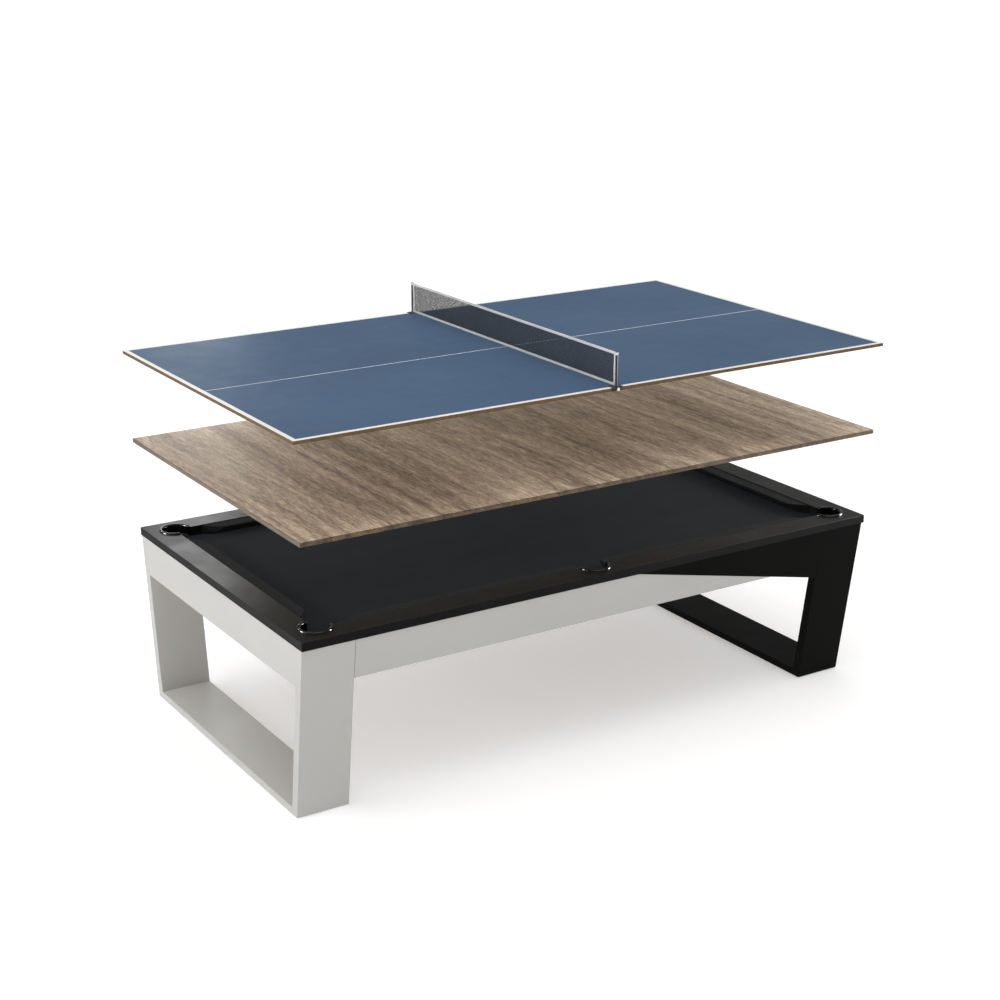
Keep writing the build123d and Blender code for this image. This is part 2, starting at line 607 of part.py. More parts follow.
def net_post(side):
    """A round post with a domed top, standing in its bracket."""
    post = disc(0, side * post_y, TENNIS_TOP + 0.2, net_top + 1, POST_R)
    return fillet(post.edges().filter_by(GeomType.CIRCLE).sort_by(Axis.Z)[-1:], 3)


net_half_w = post_y - POST_R
save("net_brackets", net_bracket(FRONT), net_bracket(BACK))
save("net_posts", net_post(FRONT), net_post(BACK))
save("net_mesh", block(-1.5, 1.5, -net_half_w, net_half_w, net_z0, net_top))
for side_name, side in SIDES:
    save(f"net_screw_{side_name}", net_screw(side))
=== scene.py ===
"""The looks of a convertible pool table: a slate bed on two end frames, one white and one
black, under a wooden dining top and a table-tennis top with its net.

Lengths are in metres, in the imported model's frame: +Z up, +X towards the black end frame,
-Y the front. Every finished piece keeps its place in its mesh, with its object at the origin.
"""
import json
import math

import bmesh
import bpy
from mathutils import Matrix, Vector

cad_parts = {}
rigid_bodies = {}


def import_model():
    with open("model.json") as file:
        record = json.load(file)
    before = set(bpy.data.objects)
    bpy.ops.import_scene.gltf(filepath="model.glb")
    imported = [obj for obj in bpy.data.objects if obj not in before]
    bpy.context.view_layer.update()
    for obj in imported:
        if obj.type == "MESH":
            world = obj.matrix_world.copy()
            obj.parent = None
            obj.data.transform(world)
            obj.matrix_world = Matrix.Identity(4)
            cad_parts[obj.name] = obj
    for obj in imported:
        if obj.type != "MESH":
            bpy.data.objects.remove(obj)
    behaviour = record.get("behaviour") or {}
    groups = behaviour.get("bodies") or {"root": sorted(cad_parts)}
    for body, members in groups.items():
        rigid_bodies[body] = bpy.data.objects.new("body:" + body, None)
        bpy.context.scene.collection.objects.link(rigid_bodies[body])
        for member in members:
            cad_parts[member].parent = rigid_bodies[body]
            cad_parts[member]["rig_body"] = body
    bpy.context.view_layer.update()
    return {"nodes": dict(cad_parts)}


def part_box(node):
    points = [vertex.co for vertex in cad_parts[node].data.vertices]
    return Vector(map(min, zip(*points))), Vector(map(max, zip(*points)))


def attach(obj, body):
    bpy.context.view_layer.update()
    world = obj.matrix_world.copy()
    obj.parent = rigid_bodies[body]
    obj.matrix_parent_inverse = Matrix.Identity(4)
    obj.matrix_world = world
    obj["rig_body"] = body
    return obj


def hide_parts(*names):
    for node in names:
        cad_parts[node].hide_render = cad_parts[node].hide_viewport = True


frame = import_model()

MM = 0.001
SIDES = (("front", -1), ("back", 1))
ENDS = (("left", -1), ("right", 1))

# ---------------------------------------------------------------- places, from the frame
RAIL_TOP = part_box("rail_cap_front")[1].z
RAIL_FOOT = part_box("white_leg_front")[1].z
HALF_L = -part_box("rail_cap_left")[0].x
HALF_W = -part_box("rail_cap_front")[0].y
CLOTH_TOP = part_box("bed_cloth")[1].z
CAP_IN_W = HALF_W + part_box("rail_cap_front")[1].y
CUSHION_BACK_W = -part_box("cushion_front_left")[0].y
CUSHION_BACK_L = -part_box("cushion_end_left")[0].x
TENNIS_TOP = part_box("tennis_half_left")[1].z
TENNIS_HALF_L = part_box("tennis_lipping")[1].x
TENNIS_HALF_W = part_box("tennis_lipping")[1].y
NET_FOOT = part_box("net_mesh")[0].z
NET_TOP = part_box("net_mesh")[1].z
NET_HALF_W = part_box("net_mesh")[1].y
CUP_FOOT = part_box("pocket_cup_left_front")[0].z

# ---------------------------------------------------------------- makers' sizes
BOARD_EDGE = 1.6 * MM       # easing on lacquered boards
CORNER_IN = 120 * MM        # corner pocket's centre, in from the rails' outer edges
SIDE_IN = 107 * MM          # side pocket's centre, in from the long rail's outer edge
RIM_MID_R = 65.5 * MM
RIM_HALF = 7.5 * MM         # half the rim's thickness, and its rounding
RIM_PROUD = 8 * MM
RIM_TIP = 0.08              # share of the rim's thickness that is left at its very ends
RIM_ARC = 12                # facets over the rim's rounding
CORNER_JAW = math.radians(38)
SIDE_JAW = math.radians(7)
NOSE_H = 36.5 * MM
CUSHION_DEPTH = CAP_IN_W - 0.3 * MM
CLOTH_THREAD = 0.55 * MM
CUP_TOP_R = 56 * MM
CUP_FOOT_R = 42 * MM
CUP_LIP_R = 61 * MM
CUP_WALL = 3 * MM
CUP_LIP = RAIL_FOOT + 0.5 * MM
CUP_LOW_LIP = CLOTH_TOP - 5 * MM    # the lip's height where balls roll in
CUP_RIBS = 16
CUP_RIB_DEPTH = 0.9 * MM
BORDER = 20 * MM            # white line round the table-tennis top
CENTRE_LINE = 5 * MM
POST_R = 6 * MM
POST_Y = NET_HALF_W + POST_R
TAPE_H = 11 * MM            # white tape along the top of the net
FOOT_TAPE_H = 10.5 * MM
SIDE_TAPE_W = 10 * MM
KNURLS = 56                 # flats round a clamp screw's knob

# ---------------------------------------------------------------- the view
CAMERA_AT = (-4.342, -6.810, 3.548)
CAMERA_DIP = 18.145         # degrees below the horizon
CAMERA_BEARING = 57.67      # degrees, from +X towards +Y
LENS_LENGTH = 66.9          # millimetres, on a 36 mm sensor


# ---------------------------------------------------------------- shader helpers
def node(tree, kind, inputs=None, **settings):
    """Add a node. An input given a socket is linked to it, and any other input is set."""
    made = tree.nodes.new(kind)
    for key, value in settings.items():
        setattr(made, key, value)
    for key, value in (inputs or {}).items():
        if isinstance(value, bpy.types.NodeSocket):
            tree.links.new(value, made.inputs[key])
        else:
            made.inputs[key].default_value = value
    return made


def linear(red, green, blue):
    """A colour given as it looks on screen, 0 to 255, as the shader's linear colour."""
    def channel(value):
        value = value / 255
        return value / 12.92 if value <= 0.04045 else ((value + 0.055) / 1.055) ** 2.4
    return (channel(red), channel(green), channel(blue), 1.0)


def new_finish(name, roughness, metallic=0.0, specular=0.5):
    """A material, its tree, its shader and the object's own coordinates."""
    material = bpy.data.materials.new(name)
    material.use_nodes = True
    tree = material.node_tree
    shader = tree.nodes["Principled BSDF"]
    shader.inputs["Roughness"].default_value = roughness
    shader.inputs["Metallic"].default_value = metallic
    shader.inputs["Specular IOR Level"].default_value = specular
    place = node(tree, "ShaderNodeTexCoord").outputs["Object"]
    return material, tree, shader, place


def stretched(tree, place, scale, turn=(0, 0, 0)):
    """The coordinates, stretched or turned, for a pattern that runs one way."""
    mapping = node(tree, "ShaderNodeMapping", {"Vector": place, "Scale": scale, "Rotation": turn})
    return mapping.outputs[0]


def speckle(tree, place, scale, detail=3.0, rough=0.55, distortion=0.0):
    """Soft noise, about 0 to 1."""
    noise = node(tree, "ShaderNodeTexNoise", {"Vector": place, "Scale": scale, "Detail": detail,
                                              "Roughness": rough, "Distortion": distortion})
    return noise.outputs["Fac"]


def spread(tree, value, low, high, to_low=0.0, to_high=1.0):
    """Stretch the part of a value between low and high over a new range."""
    return node(tree, "ShaderNodeMapRange", {"Value": value, "From Min": low, "From Max": high,
                                             "To Min": to_low, "To Max": to_high}).outputs[0]


def sums(tree, operation, first, second=0.0):
    """One step of arithmetic on shader or geometry values."""
    return node(tree, "ShaderNodeMath", {0: first, 1: second}, operation=operation).outputs[0]


def blended(tree, amount, first, second):
    """Mix two colours."""
    mix = node(tree, "ShaderNodeMix", {"Factor": amount}, data_type="RGBA")
    for socket, value in (("A", first), ("B", second)):
        entry = [s for s in mix.inputs if s.name == socket and s.type == "RGBA"][0]
        if isinstance(value, bpy.types.NodeSocket):
            tree.links.new(value, entry)
        else:
            entry.default_value = value
    return [s for s in mix.outputs if s.type == "RGBA"][0]


def ramp(tree, value, *stops):
    """A colour ramp through (position, colour) stops."""
    made = node(tree, "ShaderNodeValToRGB", {"Fac": value})
    elements = made.color_ramp.elements
    while len(elements) < len(stops):
        elements.new(0.5)
    for element, (position, colour) in zip(elements, stops):
        element.position = position
        element.color = colour
    return made.outputs["Color"]


def paint(tree, shader, colour, roughness=None):
    """Link a colour, and a roughness if one is given, to the shader."""
    tree.links.new(colour, shader.inputs["Base Color"])
    if roughness is not None:
        tree.links.new(roughness, shader.inputs["Roughness"])


def relief(tree, shader, height, depth, strength=1.0):
    """Bump from a height of 0 to 1, as deep as depth."""
    bump = node(tree, "ShaderNodeBump", {"Height": height, "Distance": depth, "Strength": strength})
    tree.links.new(bump.outputs["Normal"], shader.inputs["Normal"])


def scaled(colour, factor):
    """A colour made lighter or darker."""
    return tuple(channel * factor for channel in colour[:3]) + (1.0,)


# ---------------------------------------------------------------- finishes
def lacquer(name, colour, roughness, drift=0.05, peel=0.25, specular=0.5, band=None):
    """Sprayed satin lacquer, with a little orange peel and drift in its tone. A band is painted shade:
    a darker tone on a rail board's sides, under its top face, standing in for the dark reflections there."""
    material, tree, shader, place = new_finish(name, roughness, specular=specular)
    cloud = speckle(tree, place, 2.1, 4)
    drifting = spread(tree, cloud, 0.3, 0.7)
    tone = blended(tree, drifting, scaled(colour, 1 - drift), scaled(colour, 1 + drift))
    dust = spread(tree, speckle(tree, place, 900, 2), 0.66, 0.8)
    tone = blended(tree, sums(tree, "MULTIPLY", dust, 0.12), tone, scaled(colour, 1.6))
    handled = spread(tree, speckle(tree, place, 7, 5), 0.25, 0.75, roughness - 0.05, roughness + 0.07)
    # Painted shade: the sides under the rail's top face take the band's darker tone, standing in for their
    # dark reflections, and are also made rougher.
    if band:
        height = node(tree, "ShaderNodeSeparateXYZ", {0: place}).outputs["Z"]
        shaded_sides = sums(tree, "LESS_THAN", height, RAIL_TOP - 1.2 * MM)
        tone = blended(tree, shaded_sides, tone, band)
        handled = sums(tree, "ADD", handled, sums(tree, "MULTIPLY", shaded_sides, 0.4))
    paint(tree, shader, tone, handled)
    peel_height = sums(tree, "ADD", speckle(tree, place, 420, 2), sums(tree, "MULTIPLY", cloud, 0.4))
    relief(tree, shader, peel_height, 0.12 * MM, peel)
    return material


def timber(name, dark, middle, light, along=(1.0, 0.06, 1.0), roughness=0.5, pores=0.6):
    """Open-grained timber. The grain runs along the axis whose scale is smallest."""
    material, tree, shader, place = new_finish(name, roughness, specular=0.3)
    grain = stretched(tree, place, along)
    shorter = stretched(tree, place, tuple(c * 2.4 if c < 1 else c for c in along))
    wander = speckle(tree, grain, 3.5, 3, 0.5, 0.4)
    bands = speckle(tree, grain, 11, 6, 0.62, 1.1)
    streaks = speckle(tree, shorter, 85, 6, 0.8, 0.4)
    tone = sums(tree, "ADD", sums(tree, "MULTIPLY", bands, 0.4),
                sums(tree, "MULTIPLY", streaks, 0.52))
    tone = sums(tree, "ADD", tone, sums(tree, "MULTIPLY", wander, 0.1))
    colour = ramp(tree, tone, (0.42, dark), (0.51, middle), (0.6, light))
    fine = speckle(tree, shorter, 230, 4, 0.7, 0.2)
    pore = spread(tree, fine, 0.54, 0.64)
    colour = blended(tree, sums(tree, "MULTIPLY", pore, pores), colour, scaled(dark, 0.62))
    paint(tree, shader, colour, spread(tree, streaks, 0.3, 0.7, roughness - 0.08, roughness + 0.1))
    relief(tree, shader, sums(tree, "SUBTRACT", 1.0, pore), 0.15 * MM, 0.5)
    return material


def worsted(name, colour):
    """Billiard cloth: a fine even weave with a short nap."""
    material, tree, shader, place = new_finish(name, 0.92, specular=0.1)
    shader.inputs["Sheen Weight"].default_value = 0.04
    shader.inputs["Sheen Roughness"].default_value = 0.45
    waves = []
    for axis in ("X", "Y"):
        wave = node(tree, "ShaderNodeTexWave",
                    {"Vector": place, "Scale": 0.32 / CLOTH_THREAD, "Distortion": 0.6, "Detail": 1.0},
                    bands_direction=axis)
        waves.append(wave.outputs["Fac"])
    weave = sums(tree, "MULTIPLY", *waves)
    nap = speckle(tree, place, 1400, 3, 0.7)
    brushed = speckle(tree, stretched(tree, place, (0.25, 1, 1)), 9, 5, 0.6)
    tone = sums(tree, "ADD", sums(tree, "MULTIPLY", nap, 0.6), sums(tree, "MULTIPLY", brushed, 0.5))
    paint(tree, shader, ramp(tree, tone, (0.35, scaled(colour, 0.72)), (0.75, scaled(colour, 1.3))))
    relief(tree, shader, sums(tree, "ADD", weave, sums(tree, "MULTIPLY", nap, 0.7)), 0.25 * MM, 0.6)
    return material


def playing_paint(name):
    """Matt slate-blue playing paint with white lines, over a brown board."""
    material, tree, shader, place = new_finish(name, 0.5, specular=0.04)
    split = node(tree, "ShaderNodeSeparateXYZ", {0: place})
    out_x = sums(tree, "ABSOLUTE", split.outputs["X"])
    out_y = sums(tree, "ABSOLUTE", split.outputs["Y"])
    lines = sums(tree, "GREATER_THAN", out_x, TENNIS_HALF_L - BORDER)
    lines = sums(tree, "MAXIMUM", lines, sums(tree, "GREATER_THAN", out_y, TENNIS_HALF_W - BORDER))
    centre = sums(tree, "LESS_THAN", out_y, CENTRE_LINE / 2)
    cloud = speckle(tree, place, 1.7, 4)
    grit = speckle(tree, place, 1100, 2, 0.6)
    blue = blended(tree, spread(tree, cloud, 0.3, 0.7), linear(71, 93, 119), linear(78, 100, 126))
    blue = blended(tree, spread(tree, grit, 0.6, 0.8, 0.0, 0.2), blue, linear(104, 122, 146))
    board = blended(tree, speckle(tree, place, 60, 5), linear(92, 70, 48), linear(128, 100, 70))
    white = blended(tree, cloud, linear(226, 227, 224), linear(238, 238, 236))
    colour = blended(tree, lines, blue, white)
    colour = blended(tree, centre, colour, linear(228, 230, 230))
    on_top = sums(tree, "GREATER_THAN", split.outputs["Z"], TENNIS_TOP - 0.8 * MM)
    colour = blended(tree, on_top, board, colour)
    paint(tree, shader, colour, spread(tree, speckle(tree, place, 12, 4), 0.3, 0.7, 0.44, 0.54))
    relief(tree, shader, grit, 0.08 * MM, 0.35)
    return material


def slate_stone(name):
    """Honed grey slate with faint bedding."""
    material, tree, shader, place = new_finish(name, 0.6)
    beds = speckle(tree, stretched(tree, place, (0.3, 1, 4), (0.1, 0, 0.4)), 6, 7, 0.65, 0.8)
    grit = speckle(tree, place, 260, 4)
    colour = ramp(tree, beds, (0.3, linear(72, 76, 82)), (0.55, linear(98, 102, 108)),
                  (0.75, linear(118, 121, 124)))
    colour = blended(tree, spread(tree, grit, 0.55, 0.8, 0, 0.4), colour, linear(52, 55, 60))
    paint(tree, shader, colour, spread(tree, beds, 0.3, 0.7, 0.5, 0.7))
    relief(tree, shader, grit, 0.3 * MM, 0.4)
    return material


def hide_leather(name, colour):
    """Pebbled leather."""
    material, tree, shader, place = new_finish(name, 0.55)
    pebble = node(tree, "ShaderNodeTexVoronoi", {"Vector": place, "Scale": 620.0},
                  feature="SMOOTH_F1").outputs[0]
    cloud = speckle(tree, place, 30, 5)
    paint(tree, shader, ramp(tree, cloud, (0.3, scaled(colour, 0.7)), (0.7, scaled(colour, 1.5))),
          spread(tree, pebble, 0, 0.7, 0.4, 0.65))
    relief(tree, shader, pebble, 0.4 * MM, 0.5)
    return material


def moulded_gloss(name, colour):
    """Hard glossy moulding, with the faint waves and fine scratches of use."""
    material, tree, shader, place = new_finish(name, 0.1, specular=0.4)
    cloud = speckle(tree, place, 60, 4)
    scratch = spread(tree, speckle(tree, stretched(tree, place, (1, 12, 1)), 240, 2), 0.62, 0.7, 0, 0.12)
    paint(tree, shader, ramp(tree, cloud, (0.3, scaled(colour, 0.8)), (0.7, scaled(colour, 1.3))),
          sums(tree, "ADD", scratch, 0.09))
    relief(tree, shader, cloud, 0.2 * MM, 0.1)
    return material


def plated(name, colour, roughness, metallic=1.0):
    """Plated or powder-coated metal."""
    material, tree, shader, place = new_finish(name, roughness, metallic)
    cloud = speckle(tree, place, 90, 4)
    grit = speckle(tree, place, 1800, 2)
    paint(tree, shader, ramp(tree, cloud, (0.3, scaled(colour, 0.8)), (0.7, scaled(colour, 1.15))),
          spread(tree, grit, 0.3, 0.7, roughness - 0.06, roughness + 0.1))
    relief(tree, shader, grit, 0.08 * MM, 0.4)
    return material


def pressed_felt(name, colour):
    """Adhesive felt."""
    material, tree, shader, place = new_finish(name, 0.95, specular=0.1)
    shader.inputs["Sheen Weight"].default_value = 0.3
    fibre = speckle(tree, place, 1500, 5, 0.75, 1.5)
    paint(tree, shader, ramp(tree, fibre, (0.35, scaled(colour, 0.6)), (0.7, scaled(colour, 1.5))))
    relief(tree, shader, fibre, 0.4 * MM, 0.7)
    return material


def cotton_tape(name, colour):
    """Woven cotton tape, ribbed across."""
    material, tree, shader, place = new_finish(name, 0.85, specular=0.2)
    shader.inputs["Sheen Weight"].default_value = 0.15
    across = node(tree, "ShaderNodeTexWave", {"Vector": place, "Scale": 420.0, "Distortion": 0.8},
                  bands_direction="Y").outputs["Fac"]
    upward = node(tree, "ShaderNodeTexWave", {"Vector": place, "Scale": 700.0, "Distortion": 0.8},
                  bands_direction="Z").outputs["Fac"]
    rib = sums(tree, "MULTIPLY", across, sums(tree, "ADD", upward, 0.4))
    soil = speckle(tree, place, 14, 5)
    paint(tree, shader, ramp(tree, soil, (0.25, scaled(colour, 0.86)), (0.6, colour)))
    relief(tree, shader, rib, 0.2 * MM, 0.6)
    return material


WHITE = lacquer("white_lacquer", linear(188, 187, 183), 0.42, 0.02, 0.2, 0.35)
BLACK = lacquer("black_lacquer", linear(10, 9, 8), 0.42, 0.12, specular=0.03)
# The rail caps' band is painted shade: black sides, standing in for the dark reflections there.
CHARCOAL = lacquer("charcoal_lacquer", linear(24, 23, 21), 0.34, 0.08, specular=0.12,
                   band=linear(10, 9, 8))
CARCASS = timber("sawn_softwood", linear(150, 112, 70), linear(190, 150, 102), linear(214, 180, 132),
                 (0.05, 1.0, 1.0), 0.7, 0.3)
DINING = timber("dining_oak", linear(134, 115, 96), linear(198, 177, 152), linear(244, 226, 199))
DINING_EDGE = timber("dining_edge_band", linear(66, 52, 37), linear(98, 80, 58),
                     linear(126, 106, 80))
CLOTH = worsted("bed_cloth", linear(27, 31, 37))
CUSHION_CLOTH = worsted("cushion_cloth", linear(27, 27, 28))
TENNIS = playing_paint("playing_paint")
SLATE = slate_stone("honed_slate")
LEATHER = hide_leather("pocket_leather", linear(32, 29, 27))
RIM = moulded_gloss("rim_gloss", linear(12, 12, 12))
ZINC = plated("zinc_steel", linear(168, 168, 165), 0.35)
BRASS = plated("plain_brass", linear(190, 158, 92), 0.35)
BRIGHT = plated("bright_steel", linear(225, 224, 220), 0.2)
POWDER = plated("black_powder_coat", linear(22, 22, 22), 0.45, 0.0)
FELT = pressed_felt("grey_felt", linear(62, 62, 62))
TAPE = cotton_tape("white_tape", linear(236, 236, 232))
NET_CORD = cotton_tape("net_cord", linear(24, 24, 26))
THREAD = cotton_tape("white_thread", linear(214, 212, 206))
BLACK_THREAD = cotton_tape("black_thread", linear(58, 54, 50))


# ---------------------------------------------------------------- mesh helpers
def body_of(cad_node):
    """The body that a CAD node rides on."""
    return frame["nodes"][cad_node]["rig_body"]


def piece(name, mesh, finish, body, slot, *hides):
    """Put a finished mesh in the scene, in place of the CAD nodes that it stands for."""
    made = bpy.data.objects.new(name, mesh)
    bpy.context.scene.collection.objects.link(made)
    mesh.materials.clear()
    mesh.materials.append(finish)
    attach(made, body)
    if hides:
        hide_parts(*hides)
    return made


def finish_mesh(name, shape, smooth_degrees=None):
    """Turn a bmesh into a mesh whose faces point outwards."""
    bmesh.ops.recalc_face_normals(shape, faces=shape.faces)
    mesh = bpy.data.meshes.new(name)
    shape.to_mesh(mesh)
    shape.free()
    if smooth_degrees is not None:
        mesh.shade_smooth()
        mesh.set_sharp_from_angle(angle=math.radians(smooth_degrees))
    return mesh


def cad_shape(cad_node):
    """A CAD node's mesh to work on, with its doubled vertices joined."""
    shape = bmesh.new()
    shape.from_mesh(frame["nodes"][cad_node].data)
    bmesh.ops.remove_doubles(shape, verts=shape.verts, dist=0.01 * MM)
    return shape


def ease(shape, edges, width, segments, profile):
    """Round edges off."""
    bmesh.ops.bevel(shape, geom=edges, offset=width, offset_type="OFFSET", segments=segments,
                    profile=profile, affect="EDGES", clamp_overlap=True)


def skin_rings(shape, rings):
    """Join rings of points, each a closed loop of the same length, into a skin closed at its ends."""
    loops = [[shape.verts.new(point) for point in ring] for ring in rings]
    for first, second in zip(loops, loops[1:]):
        for index in range(len(first)):
            after = (index + 1) % len(first)
            shape.faces.new((first[index], first[after], second[after], second[index]))
    shape.faces.new(list(reversed(loops[0])))
    shape.faces.new(loops[-1])


def lathe(shape, outline, centre, steps, ripple=None):
    """Spin a closed outline of (radius, height) points. Points at radius 0 share one vertex."""
    columns = []
    poles = {index: shape.verts.new((centre[0], centre[1], height))
             for index, (radius, height) in enumerate(outline) if radius == 0}
    for step in range(steps):
        angle = 2 * math.pi * step / steps
        column = []
        for index, (radius, height) in enumerate(outline):
            if index in poles:
                column.append(poles[index])
                continue
            if ripple:
                radius, height = ripple(angle, radius, height)
            column.append(shape.verts.new((centre[0] + radius * math.cos(angle),
                                           centre[1] + radius * math.sin(angle), height)))
        columns.append(column)
    count = len(outline)
    for step in range(steps):
        here, there = columns[step], columns[(step + 1) % steps]
        for index in range(count):
            after = (index + 1) % count
            corners = [here[index], here[after], there[after], there[index]]
            corners = list(dict.fromkeys(corners))
            if len(corners) > 2:
                shape.faces.new(corners)


def eased_board(cad_node, finish, slot, width=BOARD_EDGE, suffix="board"):
    """A CAD board with its edges eased."""
    shape = cad_shape(cad_node)
    bmesh.ops.dissolve_limit(shape, angle_limit=math.radians(1), verts=shape.verts, edges=shape.edges)
    corners = [edge for edge in shape.edges
               if len(edge.link_faces) == 2 and edge.calc_face_angle(0) > math.radians(40)]
    ease(shape, corners, width, 2, 0.6)
    name = f"{cad_node}_{suffix}"
    return piece(name, finish_mesh(name, shape), finish, body_of(cad_node), slot, cad_node)


# ---------------------------------------------------------------- geometry trees
def new_tree(name, inputs):
    """An empty geometry tree that takes a path and named inputs, and gives a mesh."""
    tree = bpy.data.node_groups.new(name, "GeometryNodeTree")
    tree.interface.new_socket(name="Path", in_out="INPUT", socket_type="NodeSocketGeometry")
    tree.interface.new_socket(name="Mesh", in_out="OUTPUT", socket_type="NodeSocketGeometry")
    for title, kind in inputs.items():
        tree.interface.new_socket(name=title, in_out="INPUT", socket_type=kind)
    return tree, tree.nodes.new("NodeGroupInput").outputs, tree.nodes.new("NodeGroupOutput").inputs


def close_tree(tree, mesh, given, result):
    """Realize the instances, set the material and join the tree's output."""
    real = node(tree, "GeometryNodeRealizeInstances", {"Geometry": mesh}).outputs[0]
    coated = node(tree, "GeometryNodeSetMaterial", {"Geometry": real, "Material": given["Finish"]})
    tree.links.new(coated.outputs[0], result["Mesh"])


def grown(name, tree, path=None, **values):
    """Run a geometry tree on a path and return the plain mesh that it grows."""
    seed = bpy.data.meshes.new(name + "_path")
    if path:
        seed.from_pydata(path, [(i, i + 1) for i in range(len(path) - 1)], [])
    holder = bpy.data.objects.new(name + "_holder", seed)
    bpy.context.scene.collection.objects.link(holder)
    modifier = holder.modifiers.new("grow", "NODES")
    modifier.node_group = tree
    for item in tree.interface.items_tree:
        if item.in_out == "INPUT" and item.name in values:
            modifier[item.identifier] = values[item.name]
    ready = holder.evaluated_get(bpy.context.evaluated_depsgraph_get())
    mesh = bpy.data.meshes.new_from_object(ready)
    mesh.name = name
    holder.modifiers.remove(modifier)
    bpy.data.objects.remove(holder)
    return mesh


def net_tree():
    """Cords crossing at right angles in the YZ plane, with a small knot at each crossing."""
    tree, given, result = new_tree("knotted_net", {
        "Width": "NodeSocketFloat", "Height": "NodeSocketFloat", "Spacing": "NodeSocketFloat",
        "Cord": "NodeSocketFloat", "Knot": "NodeSocketFloat", "Slack": "NodeSocketFloat",
        "Finish": "NodeSocketMaterial"})

    def count(length):
        spaces = sums(tree, "ROUND", sums(tree, "DIVIDE", length, given["Spacing"]))
        return sums(tree, "ADD", spaces, 1.0)

    grid = node(tree, "GeometryNodeMeshGrid", {"Size X": given["Width"], "Size Y": given["Height"],
                                               "Vertices X": count(given["Width"]),
                                               "Vertices Y": count(given["Height"])})
    stood = node(tree, "GeometryNodeTransform", {"Geometry": grid.outputs["Mesh"],
                                                 "Rotation": (math.pi / 2, 0, math.pi / 2)}).outputs[0]
    wobble = node(tree, "ShaderNodeTexNoise", {"Scale": 60.0, "Detail": 1.0}).outputs["Color"]
    centred = node(tree, "ShaderNodeVectorMath", {0: wobble, 1: (0.5, 0.5, 0.5)},
                   operation="SUBTRACT").outputs[0]
    pull = node(tree, "ShaderNodeVectorMath", {0: centred, "Scale": given["Slack"]},
                operation="SCALE").outputs[0]
    loose = node(tree, "GeometryNodeSetPosition", {"Geometry": stood, "Offset": pull}).outputs[0]
    lines = node(tree, "GeometryNodeMeshToCurve", {"Mesh": loose}).outputs[0]
    round_cord = node(tree, "GeometryNodeCurvePrimitiveCircle",
                      {"Resolution": 4, "Radius": sums(tree, "MULTIPLY", given["Cord"], 0.5)})
    cords = node(tree, "GeometryNodeCurveToMesh",
                 {"Curve": lines, "Profile Curve": round_cord.outputs["Curve"],
                  "Fill Caps": True}).outputs[0]
    knot = node(tree, "GeometryNodeMeshUVSphere", {"Segments": 4, "Rings": 2,
                                                   "Radius": sums(tree, "MULTIPLY", given["Knot"], 0.5)})
    knots = node(tree, "GeometryNodeInstanceOnPoints", {"Points": loose, "Instance": knot.outputs["Mesh"]})
    both = tree.nodes.new("GeometryNodeJoinGeometry")
    tree.links.new(knots.outputs[0], both.inputs[0])
    tree.links.new(cords, both.inputs[0])
    close_tree(tree, both.outputs[0], given, result)
    return tree


def stitch_tree():
    """A row of short sewn stitches along a path."""
    tree, given, result = new_tree("stitch_row", {
        "Pitch": "NodeSocketFloat", "Length": "NodeSocketFloat", "Thread": "NodeSocketFloat",
        "Finish": "NodeSocketMaterial"})
    line = node(tree, "GeometryNodeMeshToCurve", {"Mesh": given["Path"]}).outputs[0]
    row = node(tree, "GeometryNodeResampleCurve", {"Curve": line, "Length": given["Pitch"]}, mode="LENGTH")
    along = node(tree, "GeometryNodeInputTangent").outputs[0]
    turn = node(tree, "FunctionNodeAlignRotationToVector", {"Vector": along}, axis="Z").outputs[0]
    bead = node(tree, "GeometryNodeMeshUVSphere", {"Segments": 5, "Rings": 4, "Radius": 0.5}).outputs["Mesh"]
    size = node(tree, "ShaderNodeCombineXYZ",
                {"X": given["Thread"], "Y": given["Thread"], "Z": given["Length"]})
    stitches = node(tree, "GeometryNodeInstanceOnPoints", {"Points": row.outputs[0], "Instance": bead,
                                                           "Rotation": turn, "Scale": size.outputs[0]})
    close_tree(tree, stitches.outputs[0], given, result)
    return tree


NET_TREE = net_tree()
STITCH_TREE = stitch_tree()


def stitched(name, paths, finish, pitch, length, thread):
    """One mesh of sewn stitches along several paths."""
    joined = bmesh.new()
    for path in paths:
        row = grown(name + "_row", STITCH_TREE, path, Pitch=pitch, Length=length, Thread=thread,
                    Finish=finish)
        joined.from_mesh(row)
        bpy.data.meshes.remove(row)
    mesh = bpy.data.meshes.new(name)
    joined.to_mesh(mesh)
    joined.free()
    return mesh


# ---------------------------------------------------------------- frames, aprons and carcass
def end_frames_and_aprons():
    """The white and the black frame, with the aprons of the same colour."""
    for colour, finish in (("white", WHITE), ("black", BLACK)):
        slot = f"{colour}_lacquer"
        for side, _ in SIDES:
            eased_board(f"{colour}_leg_{side}", finish, slot)
            eased_board(f"{colour}_apron_{side}", finish, slot)
        eased_board(f"{colour}_base_board", finish, slot)
        eased_board(f"{colour}_end_beam", finish, slot, 0.6 * MM)


def rails():
    for place in ("front", "back", "left", "right"):
        eased_board(f"rail_cap_{place}", CHARCOAL, "rail_lacquer", 1.2 * MM)


def carcass():
    for name in ("side_beam_front", "side_beam_back", "cross_beams", "outrigger_blocks", "corner_blocks"):
        eased_board(name, CARCASS, "beam_wood", 1.5 * MM, "timber")


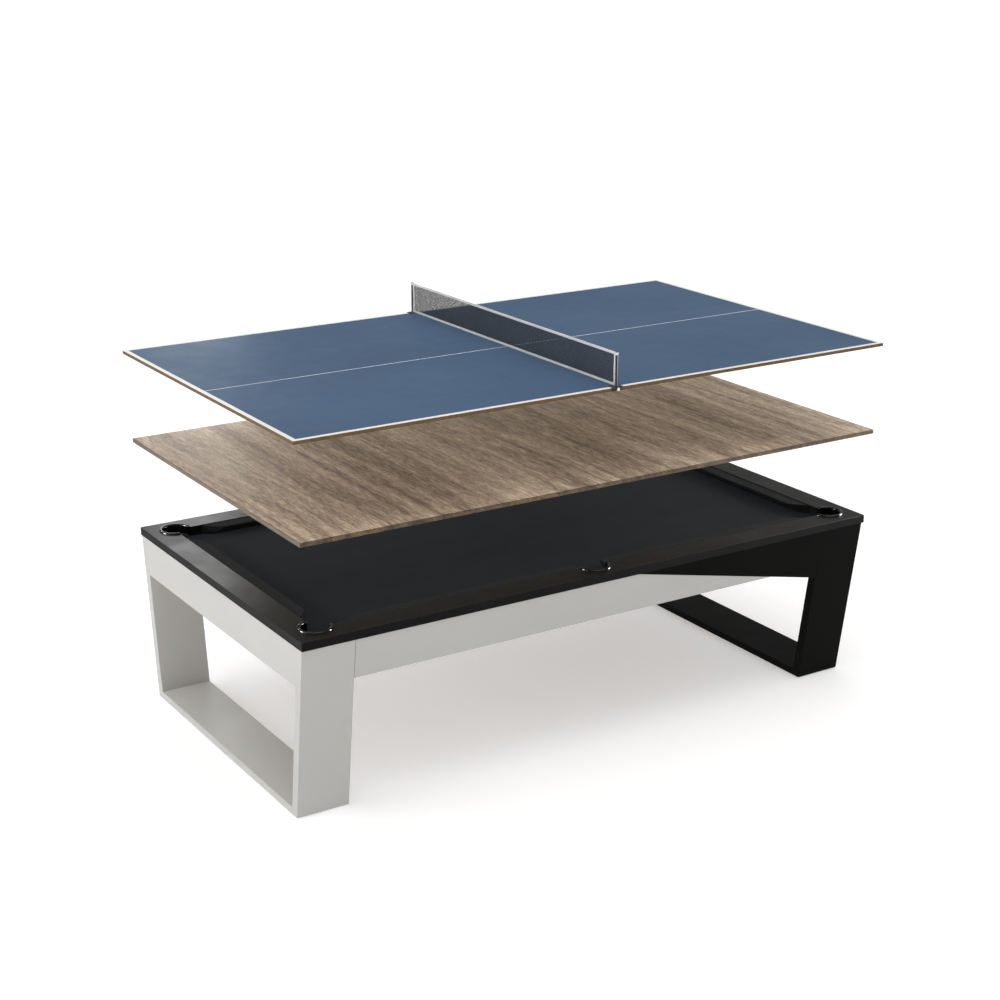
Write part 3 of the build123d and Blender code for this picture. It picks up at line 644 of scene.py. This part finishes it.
# ---------------------------------------------------------------- cushions and cloth
def cushion_outline():
    """Across a cushion: (distance behind the nose, height above the cloth), from the back's top
    round to its foot."""
    top = RAIL_TOP - 1.5 * MM - CLOTH_TOP
    depth, nose = CUSHION_DEPTH, NOSE_H
    return [(depth, top), (depth - 2 * MM, top + 0.4 * MM), (depth * 0.6, top - 1.2 * MM),
            (depth * 0.3, nose + 3.2 * MM), (6 * MM, nose + 2.0 * MM), (3 * MM, nose + 1.4 * MM),
            (1.2 * MM, nose + 0.4 * MM), (0.2 * MM, nose - 1.0 * MM), (0.0, nose - 2.2 * MM),
            (0.6 * MM, nose - 3.8 * MM), (2.4 * MM, nose - 5.6 * MM), (10 * MM, nose - 13 * MM),
            (20 * MM, nose - 23 * MM), (28 * MM, 5 * MM), (31 * MM, 1.2 * MM), (depth, 1.2 * MM)]


def cushion_mesh(name, lay, start, end, start_reach, end_reach, stations=60):
    """A cloth-covered cushion between two jaws. lay(along, behind, up) places a point; each reach is
    how far a jaw runs along the cushion over its whole depth."""
    outline = cushion_outline()
    depth = max(behind for behind, _ in outline)
    shape = bmesh.new()
    rings = []
    for step in range(stations + 1):
        share = step / stations
        ring = []
        for behind, up in outline:
            first = start - start_reach * behind / depth
            last = end + end_reach * behind / depth
            ring.append(lay(first + (last - first) * share, behind, CLOTH_TOP + up))
        rings.append(ring)
    skin_rings(shape, rings)
    ends = [edge for edge in shape.edges
            if len(edge.link_faces) == 2 and max(len(f.verts) for f in edge.link_faces) > 4]
    ease(shape, ends, 1.6 * MM, 3, 0.5)
    return finish_mesh(name, shape, 50)


def cover_cushion(cad_node, lay, start, end, start_reach, end_reach):
    """Put a covered cushion in place of its CAD node."""
    name = f"{cad_node}_covered"
    mesh = cushion_mesh(name, lay, start, end, start_reach, end_reach)
    made = piece(name, mesh, CUSHION_CLOTH, "table", "cushion_rubber", cad_node)


def cushions():
    """Four along the long rails, between a side and a corner pocket, and one at each end."""
    corner_reach = CUSHION_DEPTH / math.tan(CORNER_JAW)
    side_reach = CUSHION_DEPTH * math.tan(SIDE_JAW)
    for side, out in SIDES:
        for end, way in ENDS:
            cad_node = f"cushion_{side}_{end}"
            low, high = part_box(cad_node)
            nose = min(abs(low.y), abs(high.y))
            inner = min(abs(low.x), abs(high.x))
            outer = max(abs(low.x), abs(high.x))

            def lay(along, behind, up, out=out, way=way, nose=nose):
                return (way * along, out * (nose + behind), up)

            cover_cushion(cad_node, lay, inner + side_reach, outer - corner_reach, side_reach,
                          corner_reach)
    for end, way in ENDS:
        cad_node = f"cushion_end_{end}"
        low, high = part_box(cad_node)
        nose = min(abs(low.x), abs(high.x))
        reach = high.y - corner_reach

        def lay_end(along, behind, up, way=way, nose=nose):
            return (way * (nose + behind), along, up)

        cover_cushion(cad_node, lay_end, -reach, reach, corner_reach, corner_reach)


def bed_cloth():
    """The cloth, stretched over the slates."""
    shape = cad_shape("bed_cloth")
    top_area = sum(f.calc_area() for f in shape.faces if f.normal.z > 0.9)
    mesh = finish_mesh("bed_cloth_sheet", shape)
    made = piece("bed_cloth_sheet", mesh, CLOTH, "table", "bed_cloth", "bed_cloth")


# ---------------------------------------------------------------- pockets
def pockets():
    """(cup's node name, centre x, centre y, outward angle, whether it is at a corner)."""
    found = []
    for end, way in ENDS:
        for side, out in SIDES:
            found.append((f"pocket_cup_{end}_{side}", way * (HALF_L - CORNER_IN),
                          out * (HALF_W - CORNER_IN), math.atan2(out, way), True))
    for side, out in SIDES:
        found.append((f"pocket_cup_middle_{side}", 0.0, out * (HALF_W - SIDE_IN),
                      math.atan2(out, 0), False))
    return found


def rim_rings(x, y, outward, is_corner):
    """Rings along a C-shaped rim. The section is a half round on straight walls, and the ends
    are domed."""
    past = (HALF_W - CORNER_IN if is_corner else HALF_W - SIDE_IN) - CUSHION_BACK_W
    half_span = math.radians(135 if is_corner else 90) + math.asin(past / RIM_MID_R)
    steps = 72 if is_corner else 54
    reach = half_span * RIM_MID_R
    top = RAIL_TOP + RIM_PROUD - RIM_HALF
    foot = RAIL_FOOT + 0.6 * MM
    rings = []
    for step in range(-steps, steps + 1):
        # Stations crowd towards the ends, where the dome is.
        share = math.sin(step / steps * math.pi / 2)
        left = reach * (1 - abs(share))
        swell = math.sqrt(max(0.0, 1 - (1 - min(left / RIM_HALF, 1)) ** 2))
        half = RIM_HALF * max(swell, RIM_TIP)
        angle = outward + share * half_span
        section = [(RIM_MID_R + half, foot)]
        for turn in range(RIM_ARC + 1):
            around = math.pi * turn / RIM_ARC
            section.append((RIM_MID_R + half * math.cos(around), top + half * math.sin(around)))
        section.append((RIM_MID_R - half, foot))
        rings.append([(x + r * math.cos(angle), y + r * math.sin(angle), z) for r, z in section])
    return rings


def pocket_rims():
    shape = bmesh.new()
    for _, x, y, outward, is_corner in pockets():
        skin_rings(shape, rim_rings(x, y, outward, is_corner))
    mesh = finish_mesh("pocket_rims_moulded", shape, 60)
    piece("pocket_rims_moulded", mesh, RIM, "table", "rim_gloss", "pocket_rims")


def cup_outline():
    """Across a cup: (radius, height), from the foot's middle up its outside and down its inside."""
    outline = [(0, CUP_FOOT), (CUP_FOOT_R - 3 * MM, CUP_FOOT), (CUP_FOOT_R, CUP_FOOT + 3 * MM)]
    levels = 10
    for level in range(1, levels):
        share = level / levels
        waist = 1.2 * MM * math.sin(math.pi * share) * 0.3
        outline.append((CUP_FOOT_R + (CUP_TOP_R - CUP_FOOT_R) * share - waist,
                        CUP_FOOT + 3 * MM + (CUP_LIP - 15 * MM - CUP_FOOT) * share))
    top_in, foot_in = CUP_TOP_R - CUP_WALL, CUP_FOOT_R - CUP_WALL
    return outline + [
        (CUP_TOP_R, CUP_LIP - 12 * MM), (CUP_TOP_R, CUP_LIP - 3.4 * MM),
        (CUP_LIP_R - 1 * MM, CUP_LIP - 3 * MM), (CUP_LIP_R, CUP_LIP - 1.5 * MM),
        (CUP_LIP_R - 1 * MM, CUP_LIP), (top_in + 1 * MM, CUP_LIP), (top_in, CUP_LIP - 1.2 * MM),
        (top_in, CUP_LIP - 12 * MM), (foot_in, CUP_FOOT + CUP_WALL + 4 * MM),
        (foot_in - 4 * MM, CUP_FOOT + CUP_WALL), (0, CUP_FOOT + CUP_WALL)]


def pocket_cups():
    """Stitched leather cups, ribbed outside, lower where balls roll in."""
    for cad_node, x, y, _, _ in pockets():
        def drape(angle, radius, height, x=x, y=y):
            over_bed = (abs(x + CUP_TOP_R * math.cos(angle)) < CUSHION_BACK_L
                        and abs(y + CUP_TOP_R * math.sin(angle)) < CUSHION_BACK_W)
            if over_bed and height > CUP_LOW_LIP:
                return min(radius, CUP_TOP_R), CUP_LOW_LIP - 0.01 * (CUP_LIP - height)
            rib = 0.5 + 0.5 * math.cos(CUP_RIBS * angle)
            if CUP_FOOT + 6 * MM < height < CUP_LIP - 14 * MM and radius > CUP_FOOT_R:
                radius = radius + CUP_RIB_DEPTH * rib - CUP_RIB_DEPTH
            return radius, height

        shape = bmesh.new()
        lathe(shape, cup_outline(), (x, y), 96, drape)
        name = cad_node.replace("pocket_cup", "leather_cup")
        piece(name, finish_mesh(name, shape, 50), LEATHER, "table", "pocket_leather", cad_node)
        seams = ((CUP_TOP_R + 0.3 * MM, CUP_LIP - 16 * MM), (CUP_FOOT_R + 0.8 * MM, CUP_FOOT + 7 * MM))
        turns = [2 * math.pi * i / 48 for i in range(49)]
        paths = [[(x + radius * math.cos(a), y + radius * math.sin(a), height) for a in turns]
                 for radius, height in seams]
        rows = stitched(name + "_seams", paths, BLACK_THREAD, 6 * MM, 4 * MM, 1.1 * MM)
        piece(name + "_stitches", rows, BLACK_THREAD, "table", "pocket_leather")


# ---------------------------------------------------------------- tops
def dining_top():
    eased_board("dining_panel", DINING, "dining_wood", 0.3 * MM, "veneered")
    eased_board("dining_lipping", DINING_EDGE, "dining_edge", 0.6 * MM, "band")


def tennis_top():
    for end, _ in ENDS:
        eased_board(f"tennis_half_{end}", TENNIS, "tennis_paint", 0.4 * MM, "painted")
    eased_board("tennis_lipping", TENNIS, "tennis_edge", 0.6 * MM, "band")


# ---------------------------------------------------------------- net
def net_mesh():
    """The knotted cords, between the side tapes."""
    width = 2 * (NET_HALF_W - SIDE_TAPE_W * 0.6)
    height = NET_TOP - NET_FOOT - 12 * MM
    mesh = grown("net_knotted", NET_TREE, Width=width, Height=height, Spacing=6.5 * MM,
                 Cord=2.6 * MM, Knot=3.9 * MM, Slack=1.2 * MM, Finish=NET_CORD)
    lift = (NET_FOOT + NET_TOP) / 2 - 1 * MM
    for vertex in mesh.vertices:
        vertex.co.z += lift
    return piece("net_knotted", mesh, NET_CORD, "tennis_top", "net_fabric", "net_mesh")


def tape_section(half_t, low, high):
    """Across a folded tape that runs along Y: (x, z) points, fuller at its top, where a cord runs
    in it."""
    fuller, slimmer = half_t * 1.35, half_t * 0.9
    waist = low + 0.45 * (high - low)
    return [(-half_t, low), (half_t, low), (half_t, waist), (fuller, high - 3 * MM),
            (slimmer, high - 0.8 * MM), (0, high), (-slimmer, high - 0.8 * MM),
            (-fuller, high - 3 * MM), (-half_t, waist)]


def along_y(section, reach, stations=40):
    """Rings of one section, evenly spaced along Y."""
    return [[(x, -reach + 2 * reach * i / stations, z) for x, z in section]
            for i in range(stations + 1)]


def side_tape_rings(out):
    """Rings up one of the tapes at the net's ends, which is bowed in."""
    rings = []
    for i in range(17):
        share = i / 16
        bow = (6 * MM if out > 0 else 1 * MM) * math.sin(math.pi * share)
        z = NET_FOOT + 2 * MM + (NET_TOP - NET_FOOT - 6 * MM) * share
        outer = out * (NET_HALF_W - bow)
        inner = out * (NET_HALF_W - bow - SIDE_TAPE_W)
        middle = (inner + outer) / 2
        rings.append([(-1.3 * MM, inner, z), (1.3 * MM, inner, z), (1.7 * MM, middle, z),
                      (1.3 * MM, outer, z), (-1.3 * MM, outer, z), (-1.7 * MM, middle, z)])
    return rings


def net_tapes():
    """White tapes round the net: along its top and foot, and bowed in at its ends."""
    shape = bmesh.new()
    skin_rings(shape, along_y(tape_section(1.6 * MM, NET_TOP - TAPE_H, NET_TOP), POST_Y - POST_R * 0.4))
    sleeve = [(POST_R + 0.2 * MM, NET_TOP - TAPE_H + 1 * MM),
              (POST_R + 1.7 * MM, NET_TOP - TAPE_H + 0.6 * MM),
              (POST_R + 1.8 * MM, NET_TOP - 1 * MM), (POST_R + 0.2 * MM, NET_TOP - 0.4 * MM)]
    for out in (-1, 1):
        lathe(shape, sleeve, (0, out * POST_Y), 24)
    top = piece("net_top_tape", finish_mesh("net_top_tape", shape, 40), TAPE, "tennis_top", "net_fabric")
    shape = bmesh.new()
    middle, high = NET_FOOT + 0.5 * FOOT_TAPE_H, NET_FOOT + FOOT_TAPE_H
    section = [(-1.2 * MM, NET_FOOT), (1.2 * MM, NET_FOOT), (1.5 * MM, middle),
               (1.2 * MM, high), (-1.2 * MM, high), (-1.5 * MM, middle)]
    skin_rings(shape, along_y(section, NET_HALF_W))
    foot = piece("net_foot_tape", finish_mesh("net_foot_tape", shape, 40), TAPE, "tennis_top",
                 "net_fabric")
    shape = bmesh.new()
    for out in (-1, 1):
        skin_rings(shape, side_tape_rings(out))
    ends = piece("net_side_tapes", finish_mesh("net_side_tapes", shape, 40), TAPE, "tennis_top",
                 "net_fabric")
    paths = [[(face * 1.75 * MM, y, height) for y in (-NET_HALF_W + 2 * MM, NET_HALF_W - 2 * MM)]
             for face in (-1, 1)
             for height in (NET_TOP - TAPE_H + 2 * MM, NET_FOOT + FOOT_TAPE_H - 2 * MM)]
    rows = stitched("net_tape_stitches", paths, THREAD, 5 * MM, 3.4 * MM, 0.7 * MM)
    stitches = piece("net_tape_stitches", rows, THREAD, "tennis_top", "net_fabric")
    return [top, foot, ends, stitches]


def net_hardware():
    """The posts, and the brackets with their knurled clamp screws."""
    low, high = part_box("net_posts")
    shape = bmesh.new()
    outline = [(0, low.z), (POST_R, low.z), (POST_R, high.z - 3 * MM),
               (POST_R * 0.86, high.z - 1.2 * MM), (POST_R * 0.5, high.z - 0.2 * MM), (0, high.z)]
    for out in (-1, 1):
        lathe(shape, outline, (0, out * POST_Y), 32)
    mesh = finish_mesh("net_posts_coated", shape, 40)
    piece("net_posts_coated", mesh, POWDER, "tennis_top", "net_metal", "net_posts")
    eased_board("net_brackets", POWDER, "net_metal", 0.5 * MM, "coated")
    for side, out in SIDES:
        cad_node = f"net_screw_{side}"
        low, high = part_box(cad_node)
        centre_z = (low.z + high.z) / 2
        radius = (high.z - low.z) / 2
        outer = max(abs(low.y), abs(high.y))
        inner = min(abs(low.y), abs(high.y))
        knob = outer - 8 * MM
        shape = bmesh.new()
        outline = [(0, inner), (2.0 * MM, inner), (2.5 * MM, inner + 1 * MM), (2.5 * MM, knob),
                   (radius - 1 * MM, knob), (radius, knob + 1 * MM), (radius, outer - 1 * MM),
                   (radius - 1 * MM, outer), (2.4 * MM, outer), (2.0 * MM, outer - 1 * MM),
                   (0, outer - 1 * MM)]

        def knurl(angle, spun, along, radius=radius):
            ridge = 1 if round(angle / (2 * math.pi) * KNURLS) % 2 else 0.94
            return (spun * ridge, along) if spun > radius - 0.6 * MM else (spun, along)

        lathe(shape, outline, (0, 0), KNURLS, knurl)
        for vertex in shape.verts:
            x, y, z = vertex.co
            vertex.co = Vector((x, out * z, centre_z + y))
        name = f"{cad_node}_knurled"
        piece(name, finish_mesh(name, shape, 35), BRIGHT, cad_node, "bright_steel", cad_node)


def net():
    knotted = net_mesh()
    tapes = net_tapes()
    net_hardware()


# ---------------------------------------------------------------- carried-over nodes
def carried_over():
    """Nodes whose CAD shape is right, and only need their finish."""
    finishes = {"slate_left": SLATE, "slate_middle": SLATE, "slate_right": SLATE,
                "frame_bolts": ZINC, "rail_bolts": ZINC, "slate_screws": ZINC, "leveller_inserts": BRASS,
                "dining_pads": FELT, "tennis_pads": FELT, "dining_cleats": CARCASS, "tennis_dowels": CARCASS}
    for colour in ("white", "black"):
        for side, _ in SIDES:
            finishes[f"leveller_{colour}_{side}"] = ZINC
    for name, finish in finishes.items():
        mesh = frame["nodes"][name].data
        mesh.materials.clear()
        mesh.materials.append(finish)


# ---------------------------------------------------------------- floor, light and camera
def aim(thing, target):
    thing.rotation_euler = (Vector(target) - thing.location).to_track_quat("-Z", "Y").to_euler()


def softbox(name, place, target, size, power, gloss_only=False):
    """A lamp. With gloss_only it shows in polished surfaces and lights nothing else."""
    lamp = bpy.data.lights.new(name, "AREA")
    lamp.shape = "RECTANGLE"
    lamp.size, lamp.size_y = size
    lamp.energy = power
    made = bpy.data.objects.new(name, lamp)
    bpy.context.scene.collection.objects.link(made)
    made.location = place
    made.visible_camera = False
    made.visible_diffuse = not gloss_only
    aim(made, target)


def studio():
    """A pale floor under a sky that is bright overhead and dim at the horizon, with softboxes."""
    scene = bpy.context.scene
    scene.view_settings.view_transform = "Standard"
    world = bpy.data.worlds.new("studio")
    world.use_nodes = True
    tree = world.node_tree
    ways = node(tree, "ShaderNodeTexCoord").outputs["Generated"]
    height = node(tree, "ShaderNodeSeparateXYZ", {0: ways}).outputs["Z"]
    overhead = sums(tree, "POWER", sums(tree, "MAXIMUM", height, 0.0), 3.0)
    strength = spread(tree, overhead, 0.0, 1.0, 0.34, 1.0)
    tree.nodes["Background"].inputs["Color"].default_value = (1, 1, 1, 1)
    tree.links.new(strength, tree.nodes["Background"].inputs["Strength"])
    scene.world = world
    mesh = bpy.data.meshes.new("floor")
    reach = 150.0
    corners = [(-reach, -reach, 0), (reach, -reach, 0), (reach, reach, 0), (-reach, reach, 0)]
    mesh.from_pydata(corners, [], [(0, 1, 2, 3)])
    floor = bpy.data.objects.new("floor", mesh)
    scene.collection.objects.link(floor)
    material, tree, shader, place = new_finish("pale_floor", 0.9, specular=0.1)
    cloud = speckle(tree, place, 0.6)
    paint(tree, shader, blended(tree, cloud, linear(246, 246, 246), linear(250, 250, 250)))
    shader.inputs["Emission Color"].default_value = (1, 1, 1, 1)
    shader.inputs["Emission Strength"].default_value = 0.2
    mesh.materials.append(material)
    fill = bpy.data.lights.new("overhead_fill", "SUN")
    fill.energy = 1.3
    fill.angle = math.radians(60)
    fill.use_shadow = False
    scene.collection.objects.link(bpy.data.objects.new("overhead_fill", fill))
    softbox("key_left", (-7.5, 0.5, 2.4), (-0.5, 0, 0.9), (4.0, 2.5), 118)
    softbox("fill_front", (0.5, -8.5, 3.2), (0.3, 0, 1.0), (6.0, 2.0), 4)
    softbox("window", (-0.1, 3.4, 2.0), (-1.4, 0.3, 0.8), (0.6, 0.8), 8, True)
    softbox("glint_back", (-2.6, 5.2, 3.6), (-0.8, 0, 0.8), (0.8, 0.8), 60, True)
    softbox("glint_left", (-6.3, 2.2, 2.0), (-0.5, 0, 0.8), (2.0, 2.0), 750, True)
    softbox("glint_right", (5.8, -1.6, 2.2), (0.0, 0, 0.8), (2.0, 2.0), 750, True)


def camera():
    """Seen from the front left, a little above."""
    lens = bpy.data.cameras.new("view")
    lens.sensor_width = 36.0
    lens.lens = LENS_LENGTH
    lens.clip_end = 500.0
    made = bpy.data.objects.new("view", lens)
    made.location = CAMERA_AT
    made.rotation_euler = (math.radians(90 - CAMERA_DIP), 0.0, math.radians(CAMERA_BEARING - 90))
    bpy.context.scene.collection.objects.link(made)
    bpy.context.scene.camera = made


camera()
studio()
end_frames_and_aprons()
rails()
carcass()
cushions()
bed_cloth()
pocket_rims()
pocket_cups()
dining_top()
tennis_top()
net()
carried_over()
